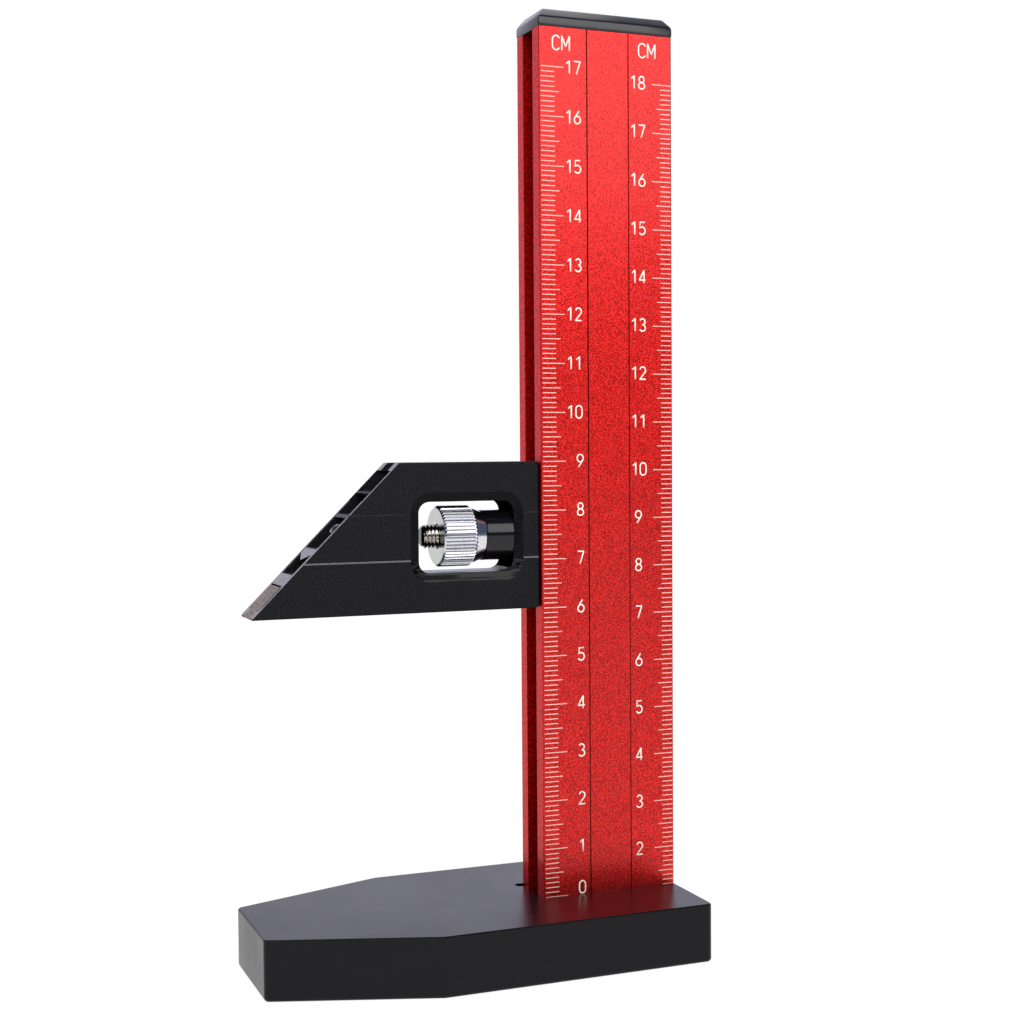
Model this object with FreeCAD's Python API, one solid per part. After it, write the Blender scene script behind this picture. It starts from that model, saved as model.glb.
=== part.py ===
# Height gauge: a slotted column on a flat base carries a sliding head with a thumb nut.
# Millimetres, +Z up, origin at the centre of the base's underside.
# X runs along the base from its nose to the column, Y from front to back.
import FreeCAD
import Part
import math
import os

V = FreeCAD.Vector

# Base plate
base_length = 90.0
base_width = 46.5
base_thickness = 12.0
nose_width = 24.0
taper_length = 32.4
base_corner_round = 1.2
base_bottom_round = 0.8
base_top_bevel = 0.25
pocket_depth = 2.0
pocket_relief_radius = 1.2
pocket_relief_offset = 0.7

# Column, an extrusion with a T-slot in each narrow side
column_width = 30.0
column_depth = 12.0
column_height = 180.0
column_edge_round = 0.4
slot_opening = 5.2
slot_cavity = 8.0
slot_lip = 1.8
slot_depth = 5.2
port_spacing = 11.0
column_core_width = 3.6
column_core_depth = 8.0
groove_places = (10.6, 19.95)
rule_width = 0.3
rule_depth = 0.15

# End cap, a moulded plug on top of the column
cap_overhang = 0.1
cap_band = 2.0
cap_bevel_inset = 1.5
cap_bevel_rise = 1.9
cap_corner_round = 1.0
cap_peg_length = 8.0

# Countersunk screws that hold the column on the base
screw_diameter = 4.0
screw_head_diameter = 8.0
screw_head_rim = 0.4
screw_head_recess = 0.2
screw_reach = 10.0
socket_flats = 2.5
socket_depth = 1.6

# Sliding head, a hollow extrusion cut to 45 degrees at its tip
slider_rest = 60.0
slider_height = 30.0
slider_top_length = 30.0
slider_cut_angle = 45.0
slider_thickness = 10.0
slider_wall = 1.0
slider_edge_round = 0.3
slider_corner_round = 0.8
tip_flat = 0.4
slider_slot_opening = 5.0
slider_slot_lip = 1.6
lower_cavity = 4.8
lower_web = 2.0
upper_cavity = 3.9
upper_web = 0.8
ridge_drop = 1.7
ridge_web = 1.0
ridge_height = 1.2
guide_rise = 4.3
guide_web = 0.6
port_rise = 2.3
port_offset = 0.6
port_outer_radius = 0.85
port_inner_radius = 0.5
head_line_places = (10.5, 19.75)

# Finger window through the sliding head
window_length = 20.4
window_height = 14.3
window_corner_round = 2.3
window_land = 5.35
window_bevel_width = 1.9
window_bevel_depth = 0.7

# Strip in the lower slot, whose end is the gauge's pointer
strip_gap = 0.1
strip_head_gap = 0.3

# T-bar in the column's slot and the key that squares the head to it
bar_neck_reach = 1.5
key_gap = 0.1
bar_floor_gap = 0.3

# Clamp: stud, collar and knurled nut
stud_diameter = 4.9
stud_end_bevel = 0.5
stud_floor = 0.6
stud_proud = 3.1
collar_diameter = 10.3
collar_length = 6.0
collar_edge_bevel = 0.2
nut_diameter = 12.4
knurl_length = 6.95
knurl_depth = 0.3
knurl_teeth = 50
neck_length = 2.4
neck_diameter = 10.3
nut_edge_bevel = 0.45
nut_mouth_bevel = 0.3

# Clearances
slide_gap = 0.15
running_gap = 0.06
seat_gap = 0.02
stud_gap = 0.15
screw_gap = 0.25

# Places worked out from the sizes above
base_end = base_length / 2
base_nose = -base_end
column_x1 = base_end
column_x0 = column_x1 - column_width
column_mid = (column_x0 + column_x1) / 2
column_foot = base_thickness - pocket_depth
column_top = column_foot + column_height
slider_bottom = base_thickness + slider_rest
slider_top = slider_bottom + slider_height
slider_end = column_x0 - slide_gap
cut_run = slider_height / math.tan(math.radians(slider_cut_angle))
slider_tip = slider_end - slider_top_length - cut_run
axis_z = slider_bottom + slider_height / 2
window_x1 = slider_end - window_land
window_x0 = window_x1 - window_length
lower_floor = slider_bottom + slider_slot_lip + lower_cavity
upper_floor = slider_top - slider_slot_lip - upper_cavity
inner_half = slider_thickness / 2 - slider_wall
collar_x1 = window_x1 - seat_gap
collar_x0 = collar_x1 - collar_length
neck_x1 = collar_x0 - seat_gap
neck_x0 = neck_x1 - neck_length
nut_face = neck_x0 - knurl_length
bar_x1 = column_x0 + slot_depth - bar_floor_gap
stud_x0 = nut_face - stud_proud
stud_x1 = bar_x1 - stud_floor


# Straight block between two corners
def block(x0, x1, y0, y1, z0, z1):
    return Part.makeBox(x1 - x0, y1 - y0, z1 - z0, V(x0, y0, z0))


# Prism from a closed outline and a sweep vector
def prism(points, sweep):
    return Part.Face(Part.makePolygon(points + [points[0]])).extrude(sweep)


# Cylinder along X
def rod(x0, x1, radius, y=0.0, z=0.0):
    return Part.makeCylinder(radius, x1 - x0, V(x0, y, z), V(1, 0, 0))


# Solid turned about an axis along X from (x, radius) points
def turned(profile, z):
    points = [V(x, 0, z + radius) for x, radius in profile]
    face = Part.Face(Part.makePolygon(points + [points[0]]))
    return face.revolve(V(0, 0, z), V(1, 0, 0), 360)


# Edges of a shape that pass a test
def pick(shape, test):
    return [edge for edge in shape.Edges if test(edge)]


# True when an edge is straight and runs along a direction
def runs_along(edge, direction):
    if not isinstance(edge.Curve, Part.Line):
        return False
    return edge.tangentAt(edge.FirstParameter).cross(direction).Length < 1e-6


# True when the whole edge lies at one height
def at_height(edge, z):
    bounds = edge.BoundBox
    return abs(bounds.ZMin - z) < 1e-6 and abs(bounds.ZMax - z) < 1e-6


# Flat outline with round corners, drawn in a horizontal plane
def round_outline(x0, x1, y0, y1, corner, z):
    middle = corner * math.sqrt(0.5)
    centres = [(x1 - corner, y1 - corner), (x0 + corner, y1 - corner)]
    centres += [(x0 + corner, y0 + corner), (x1 - corner, y0 + corner)]
    signs = [(1, 1), (-1, 1), (-1, -1), (1, -1)]
    arcs = []
    for index, (centre, sign) in enumerate(zip(centres, signs)):
        side = V(centre[0] + sign[0] * corner, centre[1], z)
        bend = V(centre[0] + sign[0] * middle, centre[1] + sign[1] * middle, z)
        end = V(centre[0], centre[1] + sign[1] * corner, z)
        first, last = (side, end) if index % 2 == 0 else (end, side)
        arcs.append((first, bend, last))
    edges = []
    for index, (first, bend, last) in enumerate(arcs):
        edges.append(Part.Arc(first, bend, last).toShape())
        following = arcs[(index + 1) % len(arcs)][0]
        edges.append(Part.makeLine(last, following))
    return Part.Wire(edges)


# The same outline stood up in the plane of one depth
def upright_outline(x0, x1, z0, z1, corner, y):
    outline = round_outline(x0, x1, z0, z1, corner, -y)
    return outline.rotated(V(0, 0, 0), V(1, 0, 0), 90)


# Base with a tapered nose, a shallow pocket for the column and two countersunk holes
def base_plate():
    half = base_width / 2
    nose = nose_width / 2
    shoulder = base_nose + taper_length
    outline = [
        V(base_nose, -nose, 0),
        V(shoulder, -half, 0),
        V(base_end, -half, 0),
        V(base_end, half, 0),
        V(shoulder, half, 0),
        V(base_nose, nose, 0),
    ]
    plate = prism(outline, V(0, 0, base_thickness))
    plate = plate.makeFillet(base_corner_round, pick(plate, lambda edge: runs_along(edge, V(0, 0, 1))))
    plate = plate.makeFillet(base_bottom_round, pick(plate, lambda edge: at_height(edge, 0)))
    plate = plate.makeChamfer(base_top_bevel, pick(plate, lambda edge: at_height(edge, base_thickness)))
    back = column_depth / 2
    pocket = block(column_x0, base_end + 1, -back, back, column_foot, base_thickness + 1)
    relief = Part.makeCylinder(
        pocket_relief_radius,
        pocket_depth + 1,
        V(column_x0 - pocket_relief_offset, back - pocket_relief_offset, column_foot),
    )
    plate = plate.cut(pocket).cut(relief)
    for x in screw_places():
        shank = Part.makeCylinder(screw_diameter / 2 + screw_gap, base_thickness, V(x, 0, 0))
        plate = plate.cut(shank).cut(countersink(x))
    return plate


# X of each screw, which is also the X of each port in the column
def screw_places():
    return [column_mid - port_spacing / 2, column_mid + port_spacing / 2]


# Seat of a screw head in the underside of the base
def countersink(x):
    top = screw_head_diameter / 2 + seat_gap
    low = screw_head_recess + screw_head_rim
    mouth = Part.makeCylinder(top, low, V(x, 0, 0))
    cone = Part.makeCone(top, 0, top, V(x, 0, low))
    return mouth.fuse(cone)


# Column extrusion: round edges, two T-slots, two screw ports, a core and two ruled lines
def column():
    half = column_depth / 2
    post = block(column_x0, column_x1, -half, half, column_foot, column_top)
    post = post.makeFillet(column_edge_round, pick(post, lambda edge: runs_along(edge, V(0, 0, 1))))
    for side, edge_x in ((1, column_x0), (-1, column_x1)):
        post = post.cut(side_slot(edge_x, side))
    for x in screw_places():
        port = Part.makeCylinder(screw_diameter / 2 + running_gap, column_height, V(x, 0, column_foot))
        post = post.cut(port)
    core_x = column_core_width / 2
    core_y = column_core_depth / 2
    post = post.cut(block(column_mid - core_x, column_mid + core_x, -core_y, core_y, column_foot, column_top))
    for place in groove_places:
        x = column_x0 + place
        notch = [
            V(x - rule_width / 2, -half, column_foot),
            V(x, -half + rule_depth, column_foot),
            V(x + rule_width / 2, -half, column_foot),
        ]
        post = post.cut(prism(notch, V(0, 0, column_height)))
    return post


# T-shaped slot that opens at edge_x and runs into the column
def side_slot(edge_x, side):
    lip = edge_x + side * slot_lip
    floor = edge_x + side * slot_depth
    outline = [
        V(edge_x, -slot_opening / 2, column_foot),
        V(lip, -slot_opening / 2, column_foot),
        V(lip, -slot_cavity / 2, column_foot),
        V(floor, -slot_cavity / 2, column_foot),
        V(floor, slot_cavity / 2, column_foot),
        V(lip, slot_cavity / 2, column_foot),
        V(lip, slot_opening / 2, column_foot),
        V(edge_x, slot_opening / 2, column_foot),
    ]
    return prism(outline, V(0, 0, column_height))


# Cap with a bevelled top and a peg in each port
def end_cap():
    x0 = column_x0 - cap_overhang
    x1 = column_x1 + cap_overhang
    half = column_depth / 2 + cap_overhang
    inset = cap_bevel_inset
    band_top = column_top + cap_band
    base_line = round_outline(x0, x1, -half, half, cap_corner_round, column_top)
    band_line = round_outline(x0, x1, -half, half, cap_corner_round, band_top)
    top_line = round_outline(
        x0 + inset, x1 - inset, -half + inset, half - inset, cap_corner_round, band_top + cap_bevel_rise
    )
    cap = Part.makeLoft([base_line, band_line], True, True)
    cap = cap.fuse(Part.makeLoft([band_line, top_line], True, True))
    for x in screw_places():
        radius = screw_diameter / 2 - running_gap
        peg = Part.makeCylinder(radius, cap_peg_length, V(x, 0, column_top - cap_peg_length))
        cap = cap.fuse(peg)
    return cap


# Countersunk screw with a hexagon socket in its head
def base_screw(x):
    low = screw_head_recess
    rim_top = low + screw_head_rim
    radius = screw_head_diameter / 2
    shank_radius = screw_diameter / 2
    head = Part.makeCylinder(radius, screw_head_rim, V(x, 0, low))
    cone = Part.makeCone(radius, shank_radius, radius - shank_radius, V(x, 0, rim_top))
    shank_start = rim_top + radius - shank_radius
    shank_end = column_foot + screw_reach
    shank = Part.makeCylinder(shank_radius, shank_end - shank_start, V(x, 0, shank_start))
    corner = socket_flats / math.sqrt(3)
    hexagon = []
    for index in range(6):
        turn = math.radians(60 * index)
        hexagon.append(V(x + corner * math.cos(turn), corner * math.sin(turn), low))
    socket = prism(hexagon, V(0, 0, socket_depth))
    return head.fuse(cone).fuse(shank).cut(socket)


# Section of the sliding head's extrusion: each hollow as an outline of (y, z) points
def slider_hollows():
    half_slot = slider_slot_opening / 2
    low_lip = slider_bottom + slider_slot_lip
    high_lip = slider_top - slider_slot_lip
    web_top = lower_floor + lower_web
    ridge_top = axis_z - ridge_drop
    ridge_side = ridge_top - ridge_web
    guide_low = axis_z + guide_rise
    guide_top = guide_low + guide_web
    high_web = upper_floor - upper_web
    lower_slot = [
        (-half_slot, slider_bottom),
        (half_slot, slider_bottom),
        (half_slot, low_lip),
        (inner_half, low_lip),
        (inner_half, lower_floor),
        (-inner_half, lower_floor),
        (-inner_half, low_lip),
        (-half_slot, low_lip),
    ]
    under_ridge = [
        (-inner_half, web_top),
        (inner_half, web_top),
        (inner_half, ridge_side),
        (0, ridge_side - ridge_height),
        (-inner_half, ridge_side),
    ]
    middle = [
        (-inner_half, ridge_top),
        (inner_half, ridge_top),
        (inner_half, guide_low),
        (-inner_half, guide_low),
    ]
    over_guide = [
        (-inner_half, guide_top),
        (inner_half, guide_top),
        (inner_half, high_web),
        (-inner_half, high_web),
    ]
    upper_slot = [
        (-half_slot, slider_top),
        (half_slot, slider_top),
        (half_slot, high_lip),
        (inner_half, high_lip),
        (inner_half, upper_floor),
        (-inner_half, upper_floor),
        (-inner_half, high_lip),
        (-half_slot, high_lip),
    ]
    return [lower_slot, under_ridge, middle, over_guide, upper_slot]


# Sliding head: extrusion, slanted end, window, ruled lines, stud hole and key slot
def slider_body():
    half = slider_thickness / 2
    head = block(slider_tip, slider_end, -half, half, slider_bottom, slider_top)
    beside_column = pick(head, lambda edge: runs_along(edge, V(0, 1, 0)) and edge.CenterOfMass.x > window_x1)
    head = head.makeFillet(slider_corner_round, beside_column)
    head = head.makeFillet(slider_edge_round, pick(head, lambda edge: runs_along(edge, V(1, 0, 0))))
    length = slider_end - slider_tip
    for hollow in slider_hollows():
        points = [V(slider_tip, y, z) for y, z in hollow]
        head = head.cut(prism(points, V(length, 0, 0)))
    head = head.fuse(front_port())
    head = head.cut(rule_notches())
    head = head.cut(tip_waste())
    head = head.cut(window_cut())
    hole = rod(window_x1 - 1, slider_end + 1, stud_diameter / 2 + stud_gap, 0, axis_z)
    key = slot_opening / 2 - slide_gap + key_gap
    slot = block(slider_end - bar_neck_reach - key_gap, slider_end + 1, -key, key, slider_bottom, slider_top)
    return head.cut(hole).cut(slot)


# Small round port along the inside of the front wall
def front_port():
    y = -inner_half + port_offset
    z = axis_z + port_rise
    shell = rod(slider_tip, slider_end, port_outer_radius, y, z)
    bore = rod(slider_tip, slider_end, port_inner_radius, y, z)
    inside = block(slider_tip, slider_end, -inner_half, 0, z - slider_wall, z + slider_wall)
    return shell.common(inside).cut(bore)


# V notches ruled along the front face
def rule_notches():
    front = -slider_thickness / 2
    notches = []
    for place in head_line_places:
        z = slider_bottom + place
        outline = [
            V(slider_tip, front, z - rule_width / 2),
            V(slider_tip, front + rule_depth, z),
            V(slider_tip, front, z + rule_width / 2),
        ]
        notches.append(prism(outline, V(slider_end - slider_tip, 0, 0)))
    return Part.makeCompound(notches)


# What the slanted saw cut and the blunting of the tip take off
def tip_waste():
    half = slider_thickness
    blunt = slider_tip + tip_flat
    reach = slider_tip - 1
    outline = [
        V(slider_tip + cut_run, -half, slider_top),
        V(slider_tip + cut_run, -half, slider_top + 1),
        V(reach, -half, slider_top + 1),
        V(reach, -half, slider_bottom - 1),
        V(blunt, -half, slider_bottom - 1),
        V(blunt, -half, slider_bottom + tip_flat * slider_height / cut_run),
    ]
    return prism(outline, V(0, 2 * half, 0))


# Finger window with a bevel on both faces
def window_cut():
    half = slider_thickness / 2
    z0 = axis_z - window_height / 2
    z1 = axis_z + window_height / 2
    x0 = window_x0
    x1 = window_x1
    corner = window_corner_round
    wide = window_bevel_width
    near = upright_outline(x0, x1, z0, z1, corner, -half - 1)
    far = upright_outline(x0, x1, z0, z1, corner, half + 1)
    cut = Part.makeLoft([near, far], True, True)
    for side in (-1, 1):
        inner = upright_outline(x0, x1, z0, z1, corner, side * (half - window_bevel_depth))
        outer = upright_outline(x0 - wide, x1 + wide, z0 - wide, z1 + wide, corner + wide, side * half)
        cut = cut.fuse(Part.makeLoft([inner, outer], True, True))
    return cut


# Strip in the head's lower slot, cut with it to the same slant
def pointer_strip():
    neck = slider_slot_opening / 2 - strip_gap
    head = inner_half - strip_gap
    low_lip = slider_bottom + slider_slot_lip
    outline = [
        (-neck, slider_bottom),
        (neck, slider_bottom),
        (neck, low_lip + seat_gap),
        (head, low_lip + seat_gap),
        (head, lower_floor - strip_head_gap),
        (-head, lower_floor - strip_head_gap),
        (-head, low_lip + seat_gap),
        (-neck, low_lip + seat_gap),
    ]
    x1 = slider_end - bar_neck_reach - key_gap
    points = [V(slider_tip, y, z) for y, z in outline]
    strip = prism(points, V(x1 - slider_tip, 0, 0))
    return strip.cut(tip_waste())


# T-bar: its head runs in the column's slot and its neck reaches into the sliding head
def t_bar():
    neck = slot_opening / 2 - slide_gap
    head = slot_cavity / 2 - slide_gap
    head_x0 = column_x0 + slot_lip + slide_gap
    neck_x0 = slider_end - bar_neck_reach
    bar = block(neck_x0, head_x0, -neck, neck, slider_bottom, slider_top)
    bar = bar.fuse(block(head_x0, bar_x1, -head, head, slider_bottom, slider_top))
    return bar.cut(rod(neck_x0 - 1, stud_x1, stud_diameter / 2 + running_gap, 0, axis_z))


# Stud from the T-bar through the head, the collar and the nut
def clamp_stud():
    radius = stud_diameter / 2
    bevel = stud_end_bevel
    profile = [
        (stud_x0, 0),
        (stud_x0, radius - bevel),
        (stud_x0 + bevel, radius),
        (stud_x1 - bevel, radius),
        (stud_x1, radius - bevel),
        (stud_x1, 0),
    ]
    return turned(profile, axis_z)


# Collar between the nut and the end of the window
def spacer_collar():
    bore = stud_diameter / 2 + running_gap
    radius = collar_diameter / 2
    bevel = collar_edge_bevel
    profile = [
        (collar_x0, bore),
        (collar_x0, radius - bevel),
        (collar_x0 + bevel, radius),
        (collar_x1 - bevel, radius),
        (collar_x1, radius - bevel),
        (collar_x1, bore),
    ]
    return turned(profile, axis_z)


# Nut with straight knurled teeth and a smooth tapered neck
def thumb_nut():
    bore = stud_diameter / 2 + running_gap
    radius = nut_diameter / 2
    root = radius - knurl_depth
    bevel = nut_edge_bevel
    teeth = []
    for index in range(2 * knurl_teeth):
        turn = math.pi * index / knurl_teeth
        reach = radius if index % 2 == 0 else root
        teeth.append(V(nut_face, reach * math.cos(turn), axis_z + reach * math.sin(turn)))
    knurl = prism(teeth, V(knurl_length, 0, 0))
    envelope = [
        (nut_face, 0),
        (nut_face, radius - bevel),
        (nut_face + bevel, radius),
        (neck_x0 - bevel, radius),
        (neck_x0, radius - bevel),
        (neck_x0, 0),
    ]
    neck = [
        (neck_x0, 0),
        (neck_x0, radius - bevel - knurl_depth),
        (neck_x1, neck_diameter / 2),
        (neck_x1, 0),
    ]
    mouth = [
        (nut_face, 0),
        (nut_face, bore + nut_mouth_bevel),
        (nut_face + nut_mouth_bevel, bore),
        (nut_face + nut_mouth_bevel, 0),
    ]
    nut = knurl.common(turned(envelope, axis_z)).fuse(turned(neck, axis_z))
    return nut.cut(turned(mouth, axis_z)).cut(rod(nut_face - 1, neck_x1 + 1, bore, 0, axis_z))


# Write one sub-part
def save(name, shape):
    solids = shape.Solids
    if len(solids) != 1 or not shape.isValid():
        raise ValueError(name + " is not one sound solid")
    solids[0].exportStep("parts/" + name + ".step")
    print(name, round(solids[0].Volume, 1))


os.makedirs("parts", exist_ok=True)
save("base_plate", base_plate())
save("column", column())
save("end_cap", end_cap())
for number, screw_x in enumerate(screw_places(), 1):
    save("base_screw_" + str(number), base_screw(screw_x))
save("slider_body", slider_body())
save("pointer_strip", pointer_strip())
save("t_bar", t_bar())
save("clamp_stud", clamp_stud())
save("spacer_collar", spacer_collar())
save("thumb_nut", thumb_nut())
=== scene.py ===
import bpy
import math
from mathutils import Matrix, Vector


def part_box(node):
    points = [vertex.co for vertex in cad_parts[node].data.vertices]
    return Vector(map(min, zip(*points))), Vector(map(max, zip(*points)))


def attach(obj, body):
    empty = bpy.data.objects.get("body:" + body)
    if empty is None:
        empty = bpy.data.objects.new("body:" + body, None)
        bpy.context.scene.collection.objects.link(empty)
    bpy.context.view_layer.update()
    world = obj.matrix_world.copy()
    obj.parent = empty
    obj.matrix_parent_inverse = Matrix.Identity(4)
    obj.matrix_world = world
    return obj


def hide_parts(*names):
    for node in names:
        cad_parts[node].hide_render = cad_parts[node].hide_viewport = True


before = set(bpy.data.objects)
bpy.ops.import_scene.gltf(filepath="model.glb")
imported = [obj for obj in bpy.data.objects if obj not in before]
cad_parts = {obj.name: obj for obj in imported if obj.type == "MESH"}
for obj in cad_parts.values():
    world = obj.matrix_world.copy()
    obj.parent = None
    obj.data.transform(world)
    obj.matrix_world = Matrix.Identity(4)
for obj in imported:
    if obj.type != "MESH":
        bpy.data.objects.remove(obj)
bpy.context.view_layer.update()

# Camera. A slightly long lens stands 0.33 m from the gauge, a little left of it and
# just above the middle of the column, and is turned 21.6 degrees to the right.
mm = 0.001
turn, tilt, roll = (math.radians(angle) for angle in (21.597, -2.347, -0.418))
forward = Vector((
    math.sin(turn) * math.cos(tilt), math.cos(turn) * math.cos(tilt), math.sin(tilt)))
level = Vector((math.cos(turn), -math.sin(turn), 0))
upward = level.cross(forward)
across = math.cos(roll) * level + math.sin(roll) * upward
above = math.cos(roll) * upward - math.sin(roll) * level
bpy.ops.object.camera_add()
camera = bpy.context.object
camera.matrix_world = Matrix((across, above, -forward)).transposed().to_4x4()
camera.location = Vector((-112.76, -312.26, 105.33)) * mm
camera.data.lens = 57.16
camera.data.clip_start = 10 * mm
bpy.context.scene.camera = camera
bpy.context.scene.view_settings.view_transform = "Standard"

# Studio. The gauge stands on a pale board in a white room, lit by a large soft
# lamp at the upper left, a weaker one at the right, one overhead and a small one
# in front, which the lower right corner of the head's window mirrors.


def colour(code):
    """The linear colour of an sRGB hex code."""
    parts = [int(code[i:i + 2], 16) / 255 for i in (0, 2, 4)]
    return [p / 12.92 if p <= 0.04045 else ((p + 0.055) / 1.055) ** 2.4 for p in parts] + [1]


def add(tree, kind, inputs=None, **settings):
    """Adds a node. Inputs are constants or the sockets that feed them."""
    made = tree.nodes.new(kind)
    for name, value in settings.items():
        setattr(made, name, value)
    for name, value in (inputs or {}).items():
        if isinstance(value, bpy.types.NodeSocket):
            tree.links.new(value, made.inputs[name])
        else:
            made.inputs[name].default_value = value
    return made


def compute(tree, operation, *values):
    """One step of arithmetic, or a comparison that gives 1 or 0."""
    return add(tree, "ShaderNodeMath", dict(enumerate(values)), operation=operation).outputs[0]


def either(tree, first, *others):
    """The greatest of the shares, so 1 where any of them is 1."""
    for other in others:
        first = compute(tree, "MAXIMUM", first, other)
    return first


def both(tree, first, *others):
    """The product of the shares, so 1 only where all of them are 1."""
    for other in others:
        first = compute(tree, "MULTIPLY", first, other)
    return first


def carry(tree, value, low, high, start=0.0, end=1.0):
    """The value, with its range from low to high carried over to start to end."""
    return add(tree, "ShaderNodeMapRange", {
        "Value": value, "From Min": low, "From Max": high,
        "To Min": start, "To Max": end}).outputs[0]


def blend(tree, share, first, second):
    """The first colour where the share is 0, the second where it is 1."""
    return add(
        tree, "ShaderNodeMix", {0: share, 6: first, 7: second}, data_type="RGBA").outputs[2]


world = bpy.data.worlds.new("white_room")
bpy.context.scene.world = world
world.use_nodes = True
tree = world.node_tree
tree.nodes.clear()
path = add(tree, "ShaderNodeLightPath").outputs
plain = either(tree, path["Is Camera Ray"], path["Is Transmission Ray"])
seen = either(tree, plain, path["Is Glossy Ray"])
# The room in front of the gauge is dark and bluish, the room behind it is faintly
# violet, and the smooth surfaces mirror both. The camera itself sees plain white.
heading = add(tree, "ShaderNodeTexCoord").outputs["Generated"]
backward = add(tree, "ShaderNodeSeparateXYZ", {0: heading}).outputs["Y"]
behind = carry(tree, backward, -0.2, 0.4)
mirrored = blend(tree, behind, colour("3f4a5e"), colour("ebeaff"))
tint = blend(tree, plain, mirrored, colour("ffffff"))
power = carry(tree, plain, 0.0, 1.0, 1.15, 1.0)
lit = add(tree, "ShaderNodeBackground", {"Color": colour("ffffff"), "Strength": 0.5})
shown = add(tree, "ShaderNodeBackground", {"Color": tint, "Strength": power})
room = add(tree, "ShaderNodeMixShader", {0: seen, 1: lit.outputs[0], 2: shown.outputs[0]})
add(tree, "ShaderNodeOutputWorld", {"Surface": room.outputs[0]})

aim = Vector((0, 0, 90 * mm))
for name, place, size, watts in (
    ("key_lamp", (-0.38, -0.45, 0.55), 0.40, 1.9),
    ("fill_lamp", (0.22, -0.52, 0.42), 0.42, 1.7),
    ("top_lamp", (0.00, 0.10, 0.70), 0.50, 1.5),
    ("front_lamp", (-0.11, -0.60, 0.37), 0.30, 0.9),
):
    bpy.ops.object.light_add(type="AREA", location=place)
    lamp = bpy.context.object
    lamp.name = name
    lamp.data.size = size
    lamp.data.energy = watts
    lamp.rotation_euler = (aim - Vector(place)).to_track_quat("-Z", "Y").to_euler()

bpy.ops.mesh.primitive_plane_add(size=6)
floor = bpy.context.object
floor.name = "floor"
board = bpy.data.materials.new("white_board")
board.use_nodes = True
tree = board.node_tree
tree.nodes.clear()
path = add(tree, "ShaderNodeLightPath").outputs
seen = either(tree, path["Is Camera Ray"], path["Is Glossy Ray"])
# The board fades into the white room away from the gauge, so no horizon shows.
spot = add(tree, "ShaderNodeTexCoord").outputs["Object"]
away = add(tree, "ShaderNodeVectorMath", {0: spot}, operation="LENGTH").outputs["Value"]
fade = carry(tree, away, 60 * mm, 350 * mm, 0.86, 1.0)
matt = add(tree, "ShaderNodeBsdfDiffuse", {"Color": colour("f4f4f4")})
glow = add(tree, "ShaderNodeEmission", {"Color": colour("ffffff"), "Strength": 1.05})
surface = add(tree, "ShaderNodeMixShader", {
    0: both(tree, seen, fade), 1: matt.outputs[0], 2: glow.outputs[0]})
add(tree, "ShaderNodeOutputMaterial", {"Surface": surface.outputs[0]})
floor.data.materials.append(board)

# Base plate. Aluminium plate, milled to a tapered nose and anodised black.
# The clear-topped film is dark when faced and mirrors the room at a low angle.


def noise(tree, size, stretch):
    """Noise with grains of a size in millimetres, drawn out where stretch is small."""
    spot = add(tree, "ShaderNodeTexCoord").outputs["Object"]
    where = add(tree, "ShaderNodeMapping", {"Vector": spot, "Scale": stretch}).outputs[0]
    return add(
        tree, "ShaderNodeTexNoise", {"Vector": where, "Scale": 1 / (size * mm)}).outputs[0]


def finish(name, dark, pale, grain, depth, roughness, stretch=(1, 1, 1), metallic=1.0):
    """A surface with grain in two tones: grain and depth are in millimetres."""
    patch, uneven = 16.6667, 0.04
    made = bpy.data.materials.new(name)
    made.use_nodes = True
    tree = made.node_tree
    shader = tree.nodes["Principled BSDF"]
    shader.inputs["Metallic"].default_value = metallic
    fine = noise(tree, grain, stretch)
    tone = blend(tree, carry(tree, fine, 0.36, 0.64), colour(dark), colour(pale))
    tree.links.new(tone, shader.inputs["Base Color"])
    # Broad patches are a little smoother or rougher than the rest.
    rough = carry(
        tree, noise(tree, patch, stretch), 0.3, 0.7, roughness - uneven, roughness + uneven)
    tree.links.new(rough, shader.inputs["Roughness"])
    bump = add(tree, "ShaderNodeBump", {
        "Height": fine, "Distance": depth * mm, "Strength": 1.0})
    tree.links.new(bump.outputs[0], shader.inputs["Normal"])
    return made


def repaint(tree, share, tone):
    """Lays a tone over the base colour where the share is 1."""
    base = tree.nodes["Principled BSDF"].inputs["Base Color"]
    tree.links.new(blend(tree, share, base.links[0].from_socket, tone), base)


def dress(node, material):
    """Gives a CAD node its finish."""
    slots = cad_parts[node].data.materials
    if not slots:
        slots.append(material)
    for i in range(len(slots)):
        slots[i] = material


black = finish("milled_black_anodised", "040405", "111016", 0.3, 0.03, 0.24, metallic=0.0)
tree = black.node_tree
tree.nodes["Principled BSDF"].inputs["Specular IOR Level"].default_value = 0.2
# Faint cutter's lines 0.3 mm apart run along the edge faces, which are also painted a shade
# darker than the top as painted shade.
edge_lines_and_shade = blend(tree, noise(tree, 0.303, (0.02, 0.02, 1)), colour("030306"), colour("0b0a10"))
facing = add(tree, "ShaderNodeNewGeometry").outputs["True Normal"]
upright = add(tree, "ShaderNodeSeparateXYZ", {0: facing}).outputs["Z"]
# Painted shade: the edge faces take the darker tone with the cutter's lines.
repaint(tree, compute(tree, "LESS_THAN", upright, 0.5), edge_lines_and_shade)
dress("base_plate", black)

# Column. Extruded aluminium with a T-slot in each narrow side, bead blasted and
# dyed red in the anodising bath, then set in the base's pocket. The blast grain
# shows as pale speckle.


def axes(tree):
    """Where a spot of the piece lies, as X, Y and Z in metres."""
    spot = add(tree, "ShaderNodeTexCoord").outputs["Object"]
    return add(tree, "ShaderNodeSeparateXYZ", {0: spot}).outputs


def between(tree, value, low, high):
    """1 where the value lies between low and high, else 0."""
    return compute(tree, "COMPARE", value, (low + high) / 2, (high - low) / 2)


red = finish("blasted_red_anodised", "960101", "ff302c", 0.27, 0.025, 0.42)
tree = red.node_tree
shader = tree.nodes["Principled BSDF"]
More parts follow.
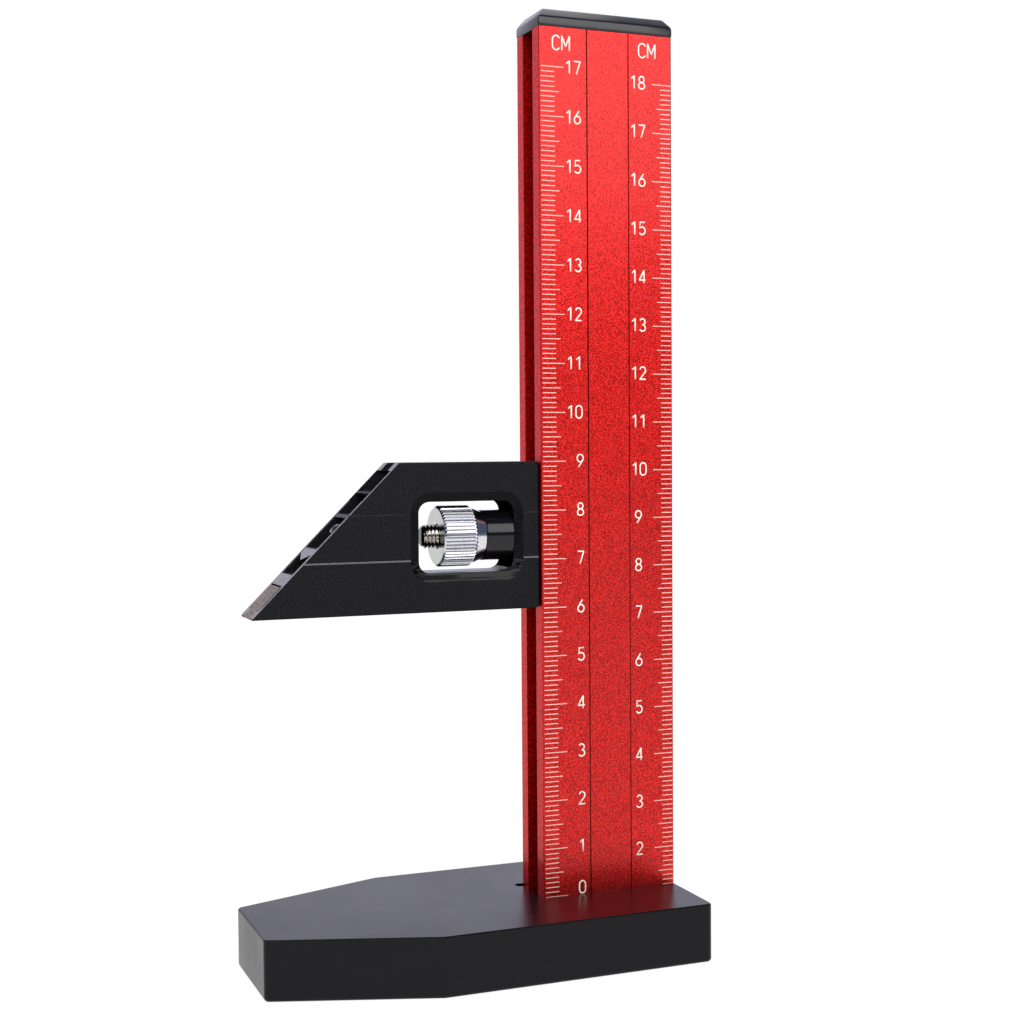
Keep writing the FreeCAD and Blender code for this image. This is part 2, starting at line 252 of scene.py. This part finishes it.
# The clear film over the dye lays a white veil on the red where a lamp is mirrored.
shader.inputs["Coat Weight"].default_value = 0.4
shader.inputs["Coat Roughness"].default_value = 0.22
shader.inputs["Specular Tint"].default_value = colour("b89a9a")
# Painted shade darkens the two ruled grooves in the front, the left one most.
here = axes(tree)
halfway = 30 * mm
reach = 6 * mm
groove_shade = both(
    tree, between(tree, here["X"], halfway - reach, halfway + reach),
    between(tree, here["Y"], -5.98 * mm, -5.82 * mm))
right_one = compute(tree, "GREATER_THAN", here["X"], halfway)
repaint(tree, groove_shade, blend(tree, right_one, colour("66090b"), colour("9c1614")))
dress("column", red)

# Scale. The marks are engraved in the column's face and filled with cream paint.
# Ticks stand each millimetre, longer at each fifth and longest at each tenth.
face_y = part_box("column")[0].y
paint = finish("cream_paint_fill", "e6dbcf", "fbf3e8", 0.2, 0.004, 0.6, metallic=0.0)
# The fine ticks look pinker than the broad characters.
thin_paint = finish("thin_paint_fill", "d8a29a", "f0c6ba", 0.2, 0.004, 0.6, metallic=0.0)


def ticks(name, x0, x1, first, step, count):
    """A row of filled marks from x0 to x1, the lowest at the height first."""
    thick, line, soft_edge = 0.03 * mm, 0.18 * mm, 0.012 * mm
    bpy.ops.object.select_all(action="DESELECT")
    bpy.ops.mesh.primitive_cube_add(
        size=1, location=((x0 + x1) / 2 * mm, face_y, first * mm),
        scale=((x1 - x0) * mm, thick, line))
    row = bpy.context.object
    row.name = name
    bpy.ops.object.transform_apply()
    bpy.ops.object.mode_set(mode="EDIT")
    bpy.ops.mesh.select_all(action="SELECT")
    bpy.ops.mesh.bevel(offset=soft_edge, segments=1)
    bpy.ops.object.mode_set(mode="OBJECT")
    again = row.modifiers.new("steps", "ARRAY")
    again.count = count
    again.use_relative_offset = False
    again.use_constant_offset = True
    again.constant_offset_displace = (0, 0, step * mm)
    bpy.ops.object.modifier_apply(modifier=again.name)
    row.data.materials.append(thin_paint)
    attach(row, "stand")


ticks("left_ticks_1", 15.4, 18.4, 12, 1, 171)
ticks("left_ticks_5", 18.4, 19.4, 12, 5, 35)
ticks("left_ticks_10", 19.4, 20.4, 12, 10, 18)
ticks("right_ticks_1", 42.3, 44.7, 12, 1, 169)
ticks("right_ticks_5", 41.4, 42.3, 15, 5, 34)
ticks("right_ticks_10", 40.4, 41.4, 20, 10, 17)


def arc(x, y, wide, tall, start, end, steps=10):
    """Points on an oval's arc, its angles in degrees."""
    angles = [math.radians(start + (end - start) * i / steps) for i in range(steps + 1)]
    return [(x + wide * math.cos(a), y + tall * math.sin(a)) for a in angles]


# The engraver's tool draws each character in up to four strokes, in a cell 0.6
# wide and 1 high. Round corners are arcs, and the 6 and 9 have straight stems.
strokes = {
    "0": [arc(0.3, 0.68, 0.24, 0.27, 180, 0) + arc(0.3, 0.32, 0.24, 0.27, 0, -180)
          + [(0.06, 0.68)]],
    "1": [[(0.12, 0.75), (0.36, 0.95)], [(0.36, 0.98), (0.36, 0.05)]],
    "2": [arc(0.3, 0.7, 0.23, 0.25, 165, -30) + [(0.06, 0.05)], [(0.04, 0.05), (0.55, 0.05)]],
    "3": [arc(0.29, 0.73, 0.21, 0.22, 155, -90), arc(0.29, 0.28, 0.24, 0.23, 90, -155)],
    "4": [[(0.43, 0.05), (0.43, 0.97)], [(0.43, 0.95), (0.05, 0.27)],
          [(0.03, 0.27), (0.57, 0.27)]],
    "5": [[(0.5, 0.95), (0.14, 0.95), (0.1, 0.53)] + arc(0.29, 0.33, 0.25, 0.28, 125, -150)],
    "6": [[(0.42, 0.95)] + arc(0.3, 0.32, 0.24, 0.27, 150, 510, 16)],
    "7": [[(0.06, 0.95), (0.56, 0.95)], [(0.54, 0.95), (0.24, 0.05)]],
    "8": [arc(0.3, 0.73, 0.2, 0.22, -90, 270, 16), arc(0.3, 0.28, 0.24, 0.23, 90, 450, 16)],
    "9": [[(0.18, 0.05)] + arc(0.3, 0.68, 0.24, 0.27, -30, 330, 16)],
    "C": [arc(0.32, 0.68, 0.25, 0.27, 25, 180) + arc(0.32, 0.32, 0.25, 0.27, 180, 335)],
    "M": [[(0.06, 0.05), (0.06, 0.97)], [(0.06, 0.95), (0.32, 0.3)],
          [(0.32, 0.3), (0.58, 0.95)], [(0.58, 0.97), (0.58, 0.05)]],
}


def lettering(name, words, height):
    """Engraves words, each given with its middle's x and z in millimetres."""
    cell, gap, pen_radius = 0.6, 0.06, 0.16
    shape = bpy.data.curves.new(name, "CURVE")
    shape.dimensions = "3D"
    shape.bevel_depth = pen_radius * mm
    shape.bevel_resolution = 1
    shape.use_fill_caps = True
    advance = height * (cell + gap)
    for word, x, z in words:
        for i, character in enumerate(word):
            left = x - advance * len(word) / 2 + advance * i
            for stroke in strokes[character]:
                spline = shape.splines.new("POLY")
                spline.points.add(len(stroke) - 1)
                for point, (u, v) in zip(spline.points, stroke):
                    point.co = ((left + u * height) * mm, 0, (z + (v - 0.5) * height) * mm, 1)
    made = bpy.data.objects.new(name, shape)
    bpy.context.scene.collection.objects.link(made)
    bpy.ops.object.select_all(action="DESELECT")
    made.select_set(True)
    bpy.context.view_layer.objects.active = made
    bpy.ops.object.convert(target="MESH")
    made = bpy.context.object
    bpy.ops.object.mode_set(mode="EDIT")
    bpy.ops.mesh.select_all(action="SELECT")
    bpy.ops.mesh.remove_doubles(threshold=0.0001 * mm)
    bpy.ops.object.mode_set(mode="OBJECT")
    # The paint lies nearly flush: the round stroke is pressed flat on the face.
    made.scale = (1, 0.1, 1)
    made.location = (0, face_y, 0)
    bpy.ops.object.transform_apply()
    made.data.materials.clear()
    made.data.materials.append(paint)
    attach(made, "stand")


lettering("left_numbers", [("0", 23.75, 13.42)] + [
    (str(n), 23.75 if n < 10 else 22.6, 12.1 + 10 * n) for n in range(1, 18)], 2.85)
lettering("right_numbers", [
    (str(n), 37.0 if n < 10 else 37.2, 10 * n + 0.2) for n in range(2, 19)], 2.85)
lettering("unit_words", [("CM", 19.91, 186.85), ("CM", 39.28, 186.8)], 3.2)

# End cap. A plug moulded in black plastic, satin, pressed into the column's top.
# Above an upright band its four sides slope in to a flat top.
plastic = finish("moulded_black_plastic", "0c0b0f", "1c1a20", 0.35, 0.014, 0.2, metallic=0.0)
low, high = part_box("end_cap")
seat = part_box("column")[1].z
band, rise, slope = 2.0 * mm, 1.9 * mm, 1.5 * mm
middle = Vector(((low.x + high.x) / 2, (low.y + high.y) / 2, seat + band / 2))
long, deep = high.x - low.x, high.y - low.y
bpy.ops.object.select_all(action="DESELECT")
bpy.ops.mesh.primitive_cube_add(size=1, location=middle, scale=(long, deep, band))
cap = bpy.context.object
cap.name = "rounded_cap"
bpy.ops.object.transform_apply()
for vertex in cap.data.vertices:
    vertex.select = vertex.co.z > middle.z
for edge in cap.data.edges:
    edge.select = False
for face in cap.data.polygons:
    face.select = face.normal.z > 0.9
bpy.context.tool_settings.mesh_select_mode = (False, False, True)
bpy.ops.object.mode_set(mode="EDIT")
bpy.ops.mesh.extrude_region_move(TRANSFORM_OT_translate={"value": (0, 0, rise)})
bpy.ops.transform.resize(
    value=((long - 2 * slope) / long, (deep - 2 * slope) / deep, 1), center_override=middle)
bpy.ops.object.mode_set(mode="OBJECT")
soft = cap.modifiers.new("soft_edges", "BEVEL")
soft.width = 0.4 * mm
soft.segments = 4
soft.limit_method = "ANGLE"
soft.angle_limit = math.radians(20)
bpy.ops.object.modifier_apply(modifier=soft.name)
bpy.ops.object.shade_smooth_by_angle(angle=math.radians(35))
cap.data.materials.append(plastic)
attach(cap, "stand")
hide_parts("end_cap")

# Base screws. Countersunk hex socket screws in black oxide steel, which hold the
# column from under the base.
oxide = finish("black_oxide_steel", "2c2b2e", "48464a", 0.2, 0.004, 0.35)
dress("base_screw_1", oxide)
dress("base_screw_2", oxide)

# Sliding head. Hollow extrusion, bead blasted and anodised black. Its 45 degree
# cut shows bare metal with saw marks, bright on the front rim and the lower webs;
# painted shade darkens the rest of the cut.


def from_line(tree, y, z):
    """How far a spot of the piece lies from the line along X at y and z."""
    spot = add(tree, "ShaderNodeTexCoord").outputs["Object"]
    beside = add(tree, "ShaderNodeMapping", {
        "Vector": spot, "Location": (0, -y, -z), "Scale": (0, 1, 1)}).outputs[0]
    return add(tree, "ShaderNodeVectorMath", {0: beside}, operation="LENGTH").outputs["Value"]


def blend_numbers(tree, share, first, second):
    """The first number where the share is 0, the second where it is 1."""
    return add(tree, "ShaderNodeMix", {0: share, 2: first, 3: second}).outputs[0]


head = finish("blasted_black_anodised", "010102", "201f24", 0.25, 0.035, 0.5)
tree = head.node_tree
shader = tree.nodes["Principled BSDF"]
at_x, at_y, at_z = axes(tree)
# The slanted cut is the plane where X minus Z comes to the offset.
cut_offset, cut_margin = -117.15 * mm, 0.06 * mm
sawn_face = between(
    tree, compute(tree, "SUBTRACT", at_x, at_z), cut_offset - cut_margin, cut_offset + cut_margin)
# Painted shade makes the highest web's cut face as black as a hollow, but for a painted highlight
# in a thin pale line along it.
rim_y = -4.55 * mm
lower_webs = compute(tree, "LESS_THAN", at_z, 94.5 * mm)
top_end = compute(tree, "GREATER_THAN", at_z, 100.5 * mm)
front_rim = compute(tree, "LESS_THAN", at_y, rim_y)
painted_highlight_line = between(tree, at_z, 96.08 * mm, 96.32 * mm)
bare = both(tree, sawn_face, either(tree, lower_webs, top_end, front_rim, painted_highlight_line))
shaded_web = compute(tree, "SUBTRACT", sawn_face, bare)
tree.links.new(bare, shader.inputs["Metallic"])
# Painted shade darkens the cut on the back wall and on the front wall inside its
# outer rim, but for the notched web and below it, and in a line beside the strip.
back_wall = both(
    tree, compute(tree, "GREATER_THAN", at_y, 4 * mm),
    between(tree, at_z, 80.4 * mm, 100.4 * mm))
upper_part = both(
    tree, compute(tree, "GREATER_THAN", at_y, rim_y),
    between(tree, at_z, 85.7 * mm, 100.3 * mm))
by_strip = both(
    tree, between(tree, at_y, rim_y, -3.45 * mm), between(tree, at_z, 74.5 * mm, 78.1 * mm))
# The port beside the front wall keeps a bright rim too, free of the painted shade.
port_y, port_z, port_radius = -3.4 * mm, 89.3 * mm, 0.87 * mm
port_edge = both(
    tree, between(tree, at_y, -4.2 * mm, -0.8 * mm),
    between(tree, at_z, 88.45 * mm, 90.15 * mm),
    compute(tree, "GREATER_THAN", from_line(tree, port_y, port_z), port_radius))
cut_shade = both(
    tree, either(tree, back_wall, upper_part, by_strip),
    compute(tree, "SUBTRACT", 1.0, port_edge))
saw_marks = noise(tree, 0.25, (1, 0.05, 1))
metal = blend(tree, saw_marks, colour("747176"), colour("aba9a8"))
# Painted shade lays dark grey over the bare metal on the shaded parts of the cut.
repaint(tree, bare, blend(tree, cut_shade, metal, colour("2c2b30")))
# Two scribed lines on the front show bare metal, the lower one brighter.
front_face = compute(tree, "LESS_THAN", at_y, -4.6 * mm)
for height, half, tone in ((82.5, 0.16, "6e6c72"), (91.75, 0.13, "2f2e32")):
    line = between(tree, at_z, (height - half) * mm, (height + half) * mm)
    repaint(tree, both(tree, line, front_face), colour(tone))
# The window's bevel and walls are black too, but glossier, with cutter's lines along
# X. On the bevel's lower side the lines mirror more strongly, a painted highlight.
cutter = noise(tree, 0.5263, (0.04, 1, 1))
bevel = both(
    tree, between(tree, at_x, -12.82 * mm, 11.42 * mm),
    between(tree, at_y, -4.98 * mm, 4.98 * mm),
    between(tree, at_z, 77.93 * mm, 96.07 * mm))
repaint(tree, bevel, blend(tree, cutter, colour("010101"), colour("0d0c0f")))
rough = shader.inputs["Roughness"]
streaked = carry(tree, cutter, 0.4, 0.6, 0.06, 0.5)
tree.links.new(blend_numbers(tree, bevel, rough.links[0].from_socket, streaked), rough)
# Painted highlight: the bevel's lower side is given a stronger mirror.
lower_side = both(tree, bevel, compute(tree, "LESS_THAN", at_z, 82.2 * mm))
gleam_highlight = carry(tree, cutter, 0.4, 0.6, 0.06, 0.4)
mirror = blend_numbers(tree, lower_side, 0.1, gleam_highlight)
# The highest web's cut face mirrors nothing, as painted shade.
mirror = blend_numbers(tree, shaded_web, mirror, 0.0)
tree.links.new(mirror, shader.inputs["Specular IOR Level"])
dress("slider_body", head)

# Port rim. The port beside the front wall opens as an oval on the slanted cut, reaching
# 3 mm from the wall. It is drawn as a thin oval tube that is sawn off with the head.
oval_x, oval_y, oval_long = -33 * mm, -2.8 * mm, 13 * mm
half_wide, half_tall = 1.75 * mm, 0.8 * mm
bpy.ops.object.select_all(action="DESELECT")
bpy.ops.mesh.primitive_circle_add(
    vertices=32, radius=1, location=(oval_x, oval_y, port_z),
    rotation=(0, math.radians(90), 0))
port = bpy.context.object
port.name = "port_rim"
bpy.ops.object.transform_apply(location=False)
port.scale = (1, half_wide, half_tall)
bpy.ops.object.transform_apply()
bpy.ops.object.mode_set(mode="EDIT")
bpy.ops.mesh.select_all(action="SELECT")
bpy.ops.mesh.extrude_edges_move(TRANSFORM_OT_translate={"value": (oval_long, 0, 0)})
bpy.ops.object.mode_set(mode="OBJECT")
wall = port.modifiers.new("wall", "SOLIDIFY")
wall.thickness = 0.28 * mm
wall.offset = -1
bpy.ops.object.modifier_apply(modifier=wall.name)
bpy.ops.object.mode_set(mode="EDIT")
bpy.ops.mesh.select_all(action="SELECT")
bpy.ops.mesh.bisect(
    plane_co=(cut_offset, 0, 0), plane_no=(-1, 0, 1), use_fill=True, clear_outer=True)
bpy.ops.mesh.select_all(action="SELECT")
bpy.ops.mesh.normals_make_consistent(inside=False)
bpy.ops.object.mode_set(mode="OBJECT")
bpy.ops.object.shade_smooth_by_angle(angle=math.radians(30))
port.data.materials.append(head)
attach(port, "head")

# Pointer strip and T-bar. The strip is bare aluminium bar sawn with the head,
# and the T-bar that slides in the column's slot is bare steel.
sawn = finish("sawn_bare_aluminium", "3e3020", "846648", 0.3, 0.014, 0.38, (1, 0.08, 1))
tree = sawn.node_tree
# A dark line of shade lies along the strip's front, beside the head's wall.
repaint(tree, compute(tree, "LESS_THAN", axes(tree)["Y"], -3.1 * mm), colour("1c1a1a"))
dress("pointer_strip", sawn)
dress("t_bar", finish("bare_bar_steel", "77767a", "9d9ca0", 0.3, 0.004, 0.35, (1, 1, 0.05)))

# Clamp. An M5 stud with a rolled thread stands in the T-bar. A gloss black turned
# collar and a knurled nut in bright nickel plate sit on it, and a finger in the
# head's window turns the nut against the collar.
low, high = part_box("clamp_stud")
axis_z, crest = (low.z + high.z) / 2, (high.z - low.z) / 2
pitch, thread_depth, cone = 0.8 * mm, 0.43 * mm, 0.5 * mm
root = crest - thread_depth
bpy.ops.object.select_all(action="DESELECT")
bpy.ops.mesh.primitive_circle_add(vertices=5)
stud = bpy.context.object
stud.name = "threaded_stud"
# The ring's five corners become one pitch of the thread's outline, from root to root.
outline = ((0, root), (0.38, crest), (0.5, crest), (0.88, root), (1, root))
for vertex, (x, r) in zip(stud.data.vertices, outline):
    vertex.co = (low.x + (x - 1) * pitch, 0, r)
bpy.ops.object.mode_set(mode="OBJECT")
for edge in stud.data.edges:
    edge.select = set(edge.vertices) == {0, 4}
bpy.context.tool_settings.mesh_select_mode = (False, True, False)
bpy.ops.object.mode_set(mode="EDIT")
bpy.ops.mesh.delete(type="EDGE")
bpy.ops.object.mode_set(mode="OBJECT")
winding = stud.modifiers.new("winding", "SCREW")
winding.axis = "X"
winding.screw_offset = pitch
winding.iterations = math.ceil((high.x - low.x) / pitch) + 2
winding.steps = winding.render_steps = 24
bpy.ops.object.modifier_apply(modifier=winding.name)
# The turns are joined to one skin, then cut off and closed at both ends.
bpy.ops.object.mode_set(mode="EDIT")
bpy.ops.mesh.select_all(action="SELECT")
bpy.ops.mesh.remove_doubles(threshold=0.001 * mm)
for x, inward in ((low.x, 1), (high.x, -1)):
    bpy.ops.mesh.select_all(action="SELECT")
    bpy.ops.mesh.bisect(
        plane_co=(x, 0, 0), plane_no=(-inward, 0, 0), use_fill=True, clear_outer=True,
        threshold=0.0001 * mm)
bpy.ops.mesh.select_all(action="SELECT")
bpy.ops.mesh.normals_make_consistent(inside=False)
bpy.ops.object.mode_set(mode="OBJECT")
# Both ends are turned to a short cone.
for vertex in stud.data.vertices:
    end = min(vertex.co.x - low.x, high.x - vertex.co.x)
    r = math.hypot(vertex.co.y, vertex.co.z)
    keep = min(1, (crest - cone + end) / r)
    vertex.co.y *= keep
    vertex.co.z *= keep
    vertex.co.z += axis_z
rolled = finish("rolled_thread_steel", "5a5551", "cfc5bd", 0.25, 0.004, 0.17)
tree = rolled.node_tree
# The end's face is dull and dark.
end_face = compute(tree, "LESS_THAN", axes(tree)["X"], low.x + 0.02 * mm)
repaint(tree, end_face, colour("302c2b"))
stud.data.materials.append(rolled)
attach(stud, "head")
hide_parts("clamp_stud")
gloss = finish("gloss_black_anodised", "080709", "0d0c0f", 0.3, 0.001, 0.13, metallic=0.0)
gloss.node_tree.nodes["Principled BSDF"].inputs["Specular IOR Level"].default_value = 0.4
dress("spacer_collar", gloss)

# The nut is turned, straight knurled with 50 ridges, chamfered and coned down to its neck.
# The chamfer ends the knurl in a zigzag, because a valley runs further along than a ridge.
low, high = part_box("thumb_nut")
crown, valley, bore, neck = high.y, high.y - 0.34 * mm, 2.5 * mm, 5.05 * mm
teeth, mouth, lip = 50, 0.35 * mm, 0.12 * mm
shoulder, run, step = high.x - 2.75 * mm, 1.25, 0.05 * mm
bpy.ops.object.select_all(action="DESELECT")
bpy.ops.mesh.primitive_circle_add(
    vertices=3 * teeth, radius=1, rotation=(0, math.radians(90), 0))
nut = bpy.context.object
nut.name = "knurled_nut"
bpy.ops.object.transform_apply()
bpy.ops.object.mode_set(mode="EDIT")
bpy.ops.mesh.select_all(action="SELECT")
for ring in range(8):
    bpy.ops.mesh.extrude_edges_move(TRANSFORM_OT_translate={"value": (1, 0, 0)})
bpy.ops.mesh.select_all(action="DESELECT")
bpy.ops.mesh.select_non_manifold()
bpy.ops.mesh.bridge_edge_loops()
bpy.ops.object.mode_set(mode="OBJECT")
# The nine rings go from the bore's mouth over the knurl and the cone to the neck.
# Past the shoulder the chamfer runs 1.25 along for each 1 inward.
for vertex in nut.data.vertices:
    angle = math.atan2(vertex.co.z, vertex.co.y)
    r = valley if round(angle / math.tau * 3 * teeth) % 3 == 0 else crown
    x, r = (
        (low.x + mouth, bore),
        (low.x, bore + mouth),
        (low.x, valley - lip),
        (low.x + r - valley + lip, r),
        (shoulder + run * (crown - r), r),
        (shoulder + run * (crown - valley + step), valley - step),
        (high.x - lip, neck),
        (high.x, neck - lip),
        (high.x, bore),
    )[round(vertex.co.x)]
    vertex.co = (x, r * math.cos(angle), r * math.sin(angle) + axis_z)
bpy.ops.object.mode_set(mode="EDIT")
bpy.ops.mesh.select_all(action="SELECT")
bpy.ops.mesh.normals_make_consistent(inside=False)
bpy.ops.object.mode_set(mode="OBJECT")
bpy.ops.object.shade_smooth_by_angle(angle=math.radians(12))
nickel = finish("bright_nickel_plate", "cfced4", "ecebf0", 0.3, 0.001, 0.17)
tree = nickel.node_tree
at_x = axes(tree)["X"]
# Painted shade darkens the valleys between the ridges against the crowns.
valley_shade = carry(
    tree, from_line(tree, 0, axis_z), valley + 0.1 * mm, crown - 0.05 * mm, 1.0, 0.0)
knurl = between(tree, at_x, low.x + 0.25 * mm, low.x + 6.65 * mm)
repaint(tree, both(tree, knurl, valley_shade), colour("a8a7ae"))
# Painted shade makes the turned front face a little greyer than the rest.
face_shade = compute(tree, "LESS_THAN", at_x, low.x + 0.05 * mm)
repaint(tree, face_shade, colour("babdb6"))
nut.data.materials.append(nickel)
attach(nut, "nut")
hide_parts("thumb_nut")
